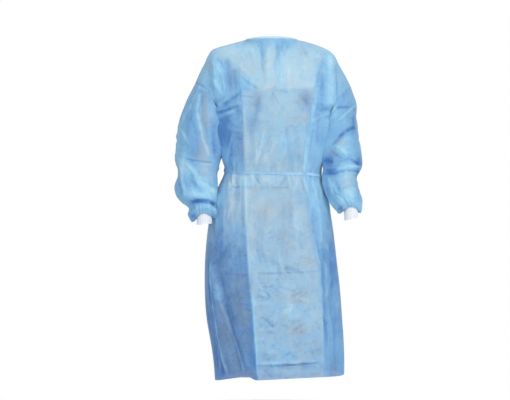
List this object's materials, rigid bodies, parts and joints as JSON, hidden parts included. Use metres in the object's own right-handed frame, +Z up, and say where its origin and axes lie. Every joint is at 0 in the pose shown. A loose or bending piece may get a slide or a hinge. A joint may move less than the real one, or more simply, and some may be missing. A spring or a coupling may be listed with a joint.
{
  "type": "surgical gown",
  "caption": "Disposable non-woven surgical gown in its worn, hollow form, with a bound neck, long gathered sleeves, knitted cuffs and a narrow waist belt tied behind.",
  "frame": {"origin": "middle of the neck opening, at the height where the gown hangs from the wearer's shoulders", "axes": "+Z up along the gown's length, -Y to the front, +X to the right of somebody looking at the front"},
  "size_m": [0.6222, 0.3207, 1.151],
  "materials": {
    "nonwoven": "thin spunbond non-woven, matt with a slight sheen",
    "tape": "folded non-woven tape, matt",
    "knit": "white rib knit, matt"
  },
  "bodies": {
    "root": {"front_panel": "nonwoven", "back_panel_left": "nonwoven", "back_panel_right": "nonwoven", "sleeve_left": "nonwoven", "sleeve_right": "nonwoven", "cuff_left": "knit", "cuff_right": "knit", "neck_binding": "tape", "waist_belt": "tape", "neck_tie_knot": "tape", "neck_tie_tail_left": "tape", "neck_tie_tail_right": "tape", "belt_knot": "tape", "belt_tail_left": "tape", "belt_tail_right": "tape"}
  },
  "joints": []
}
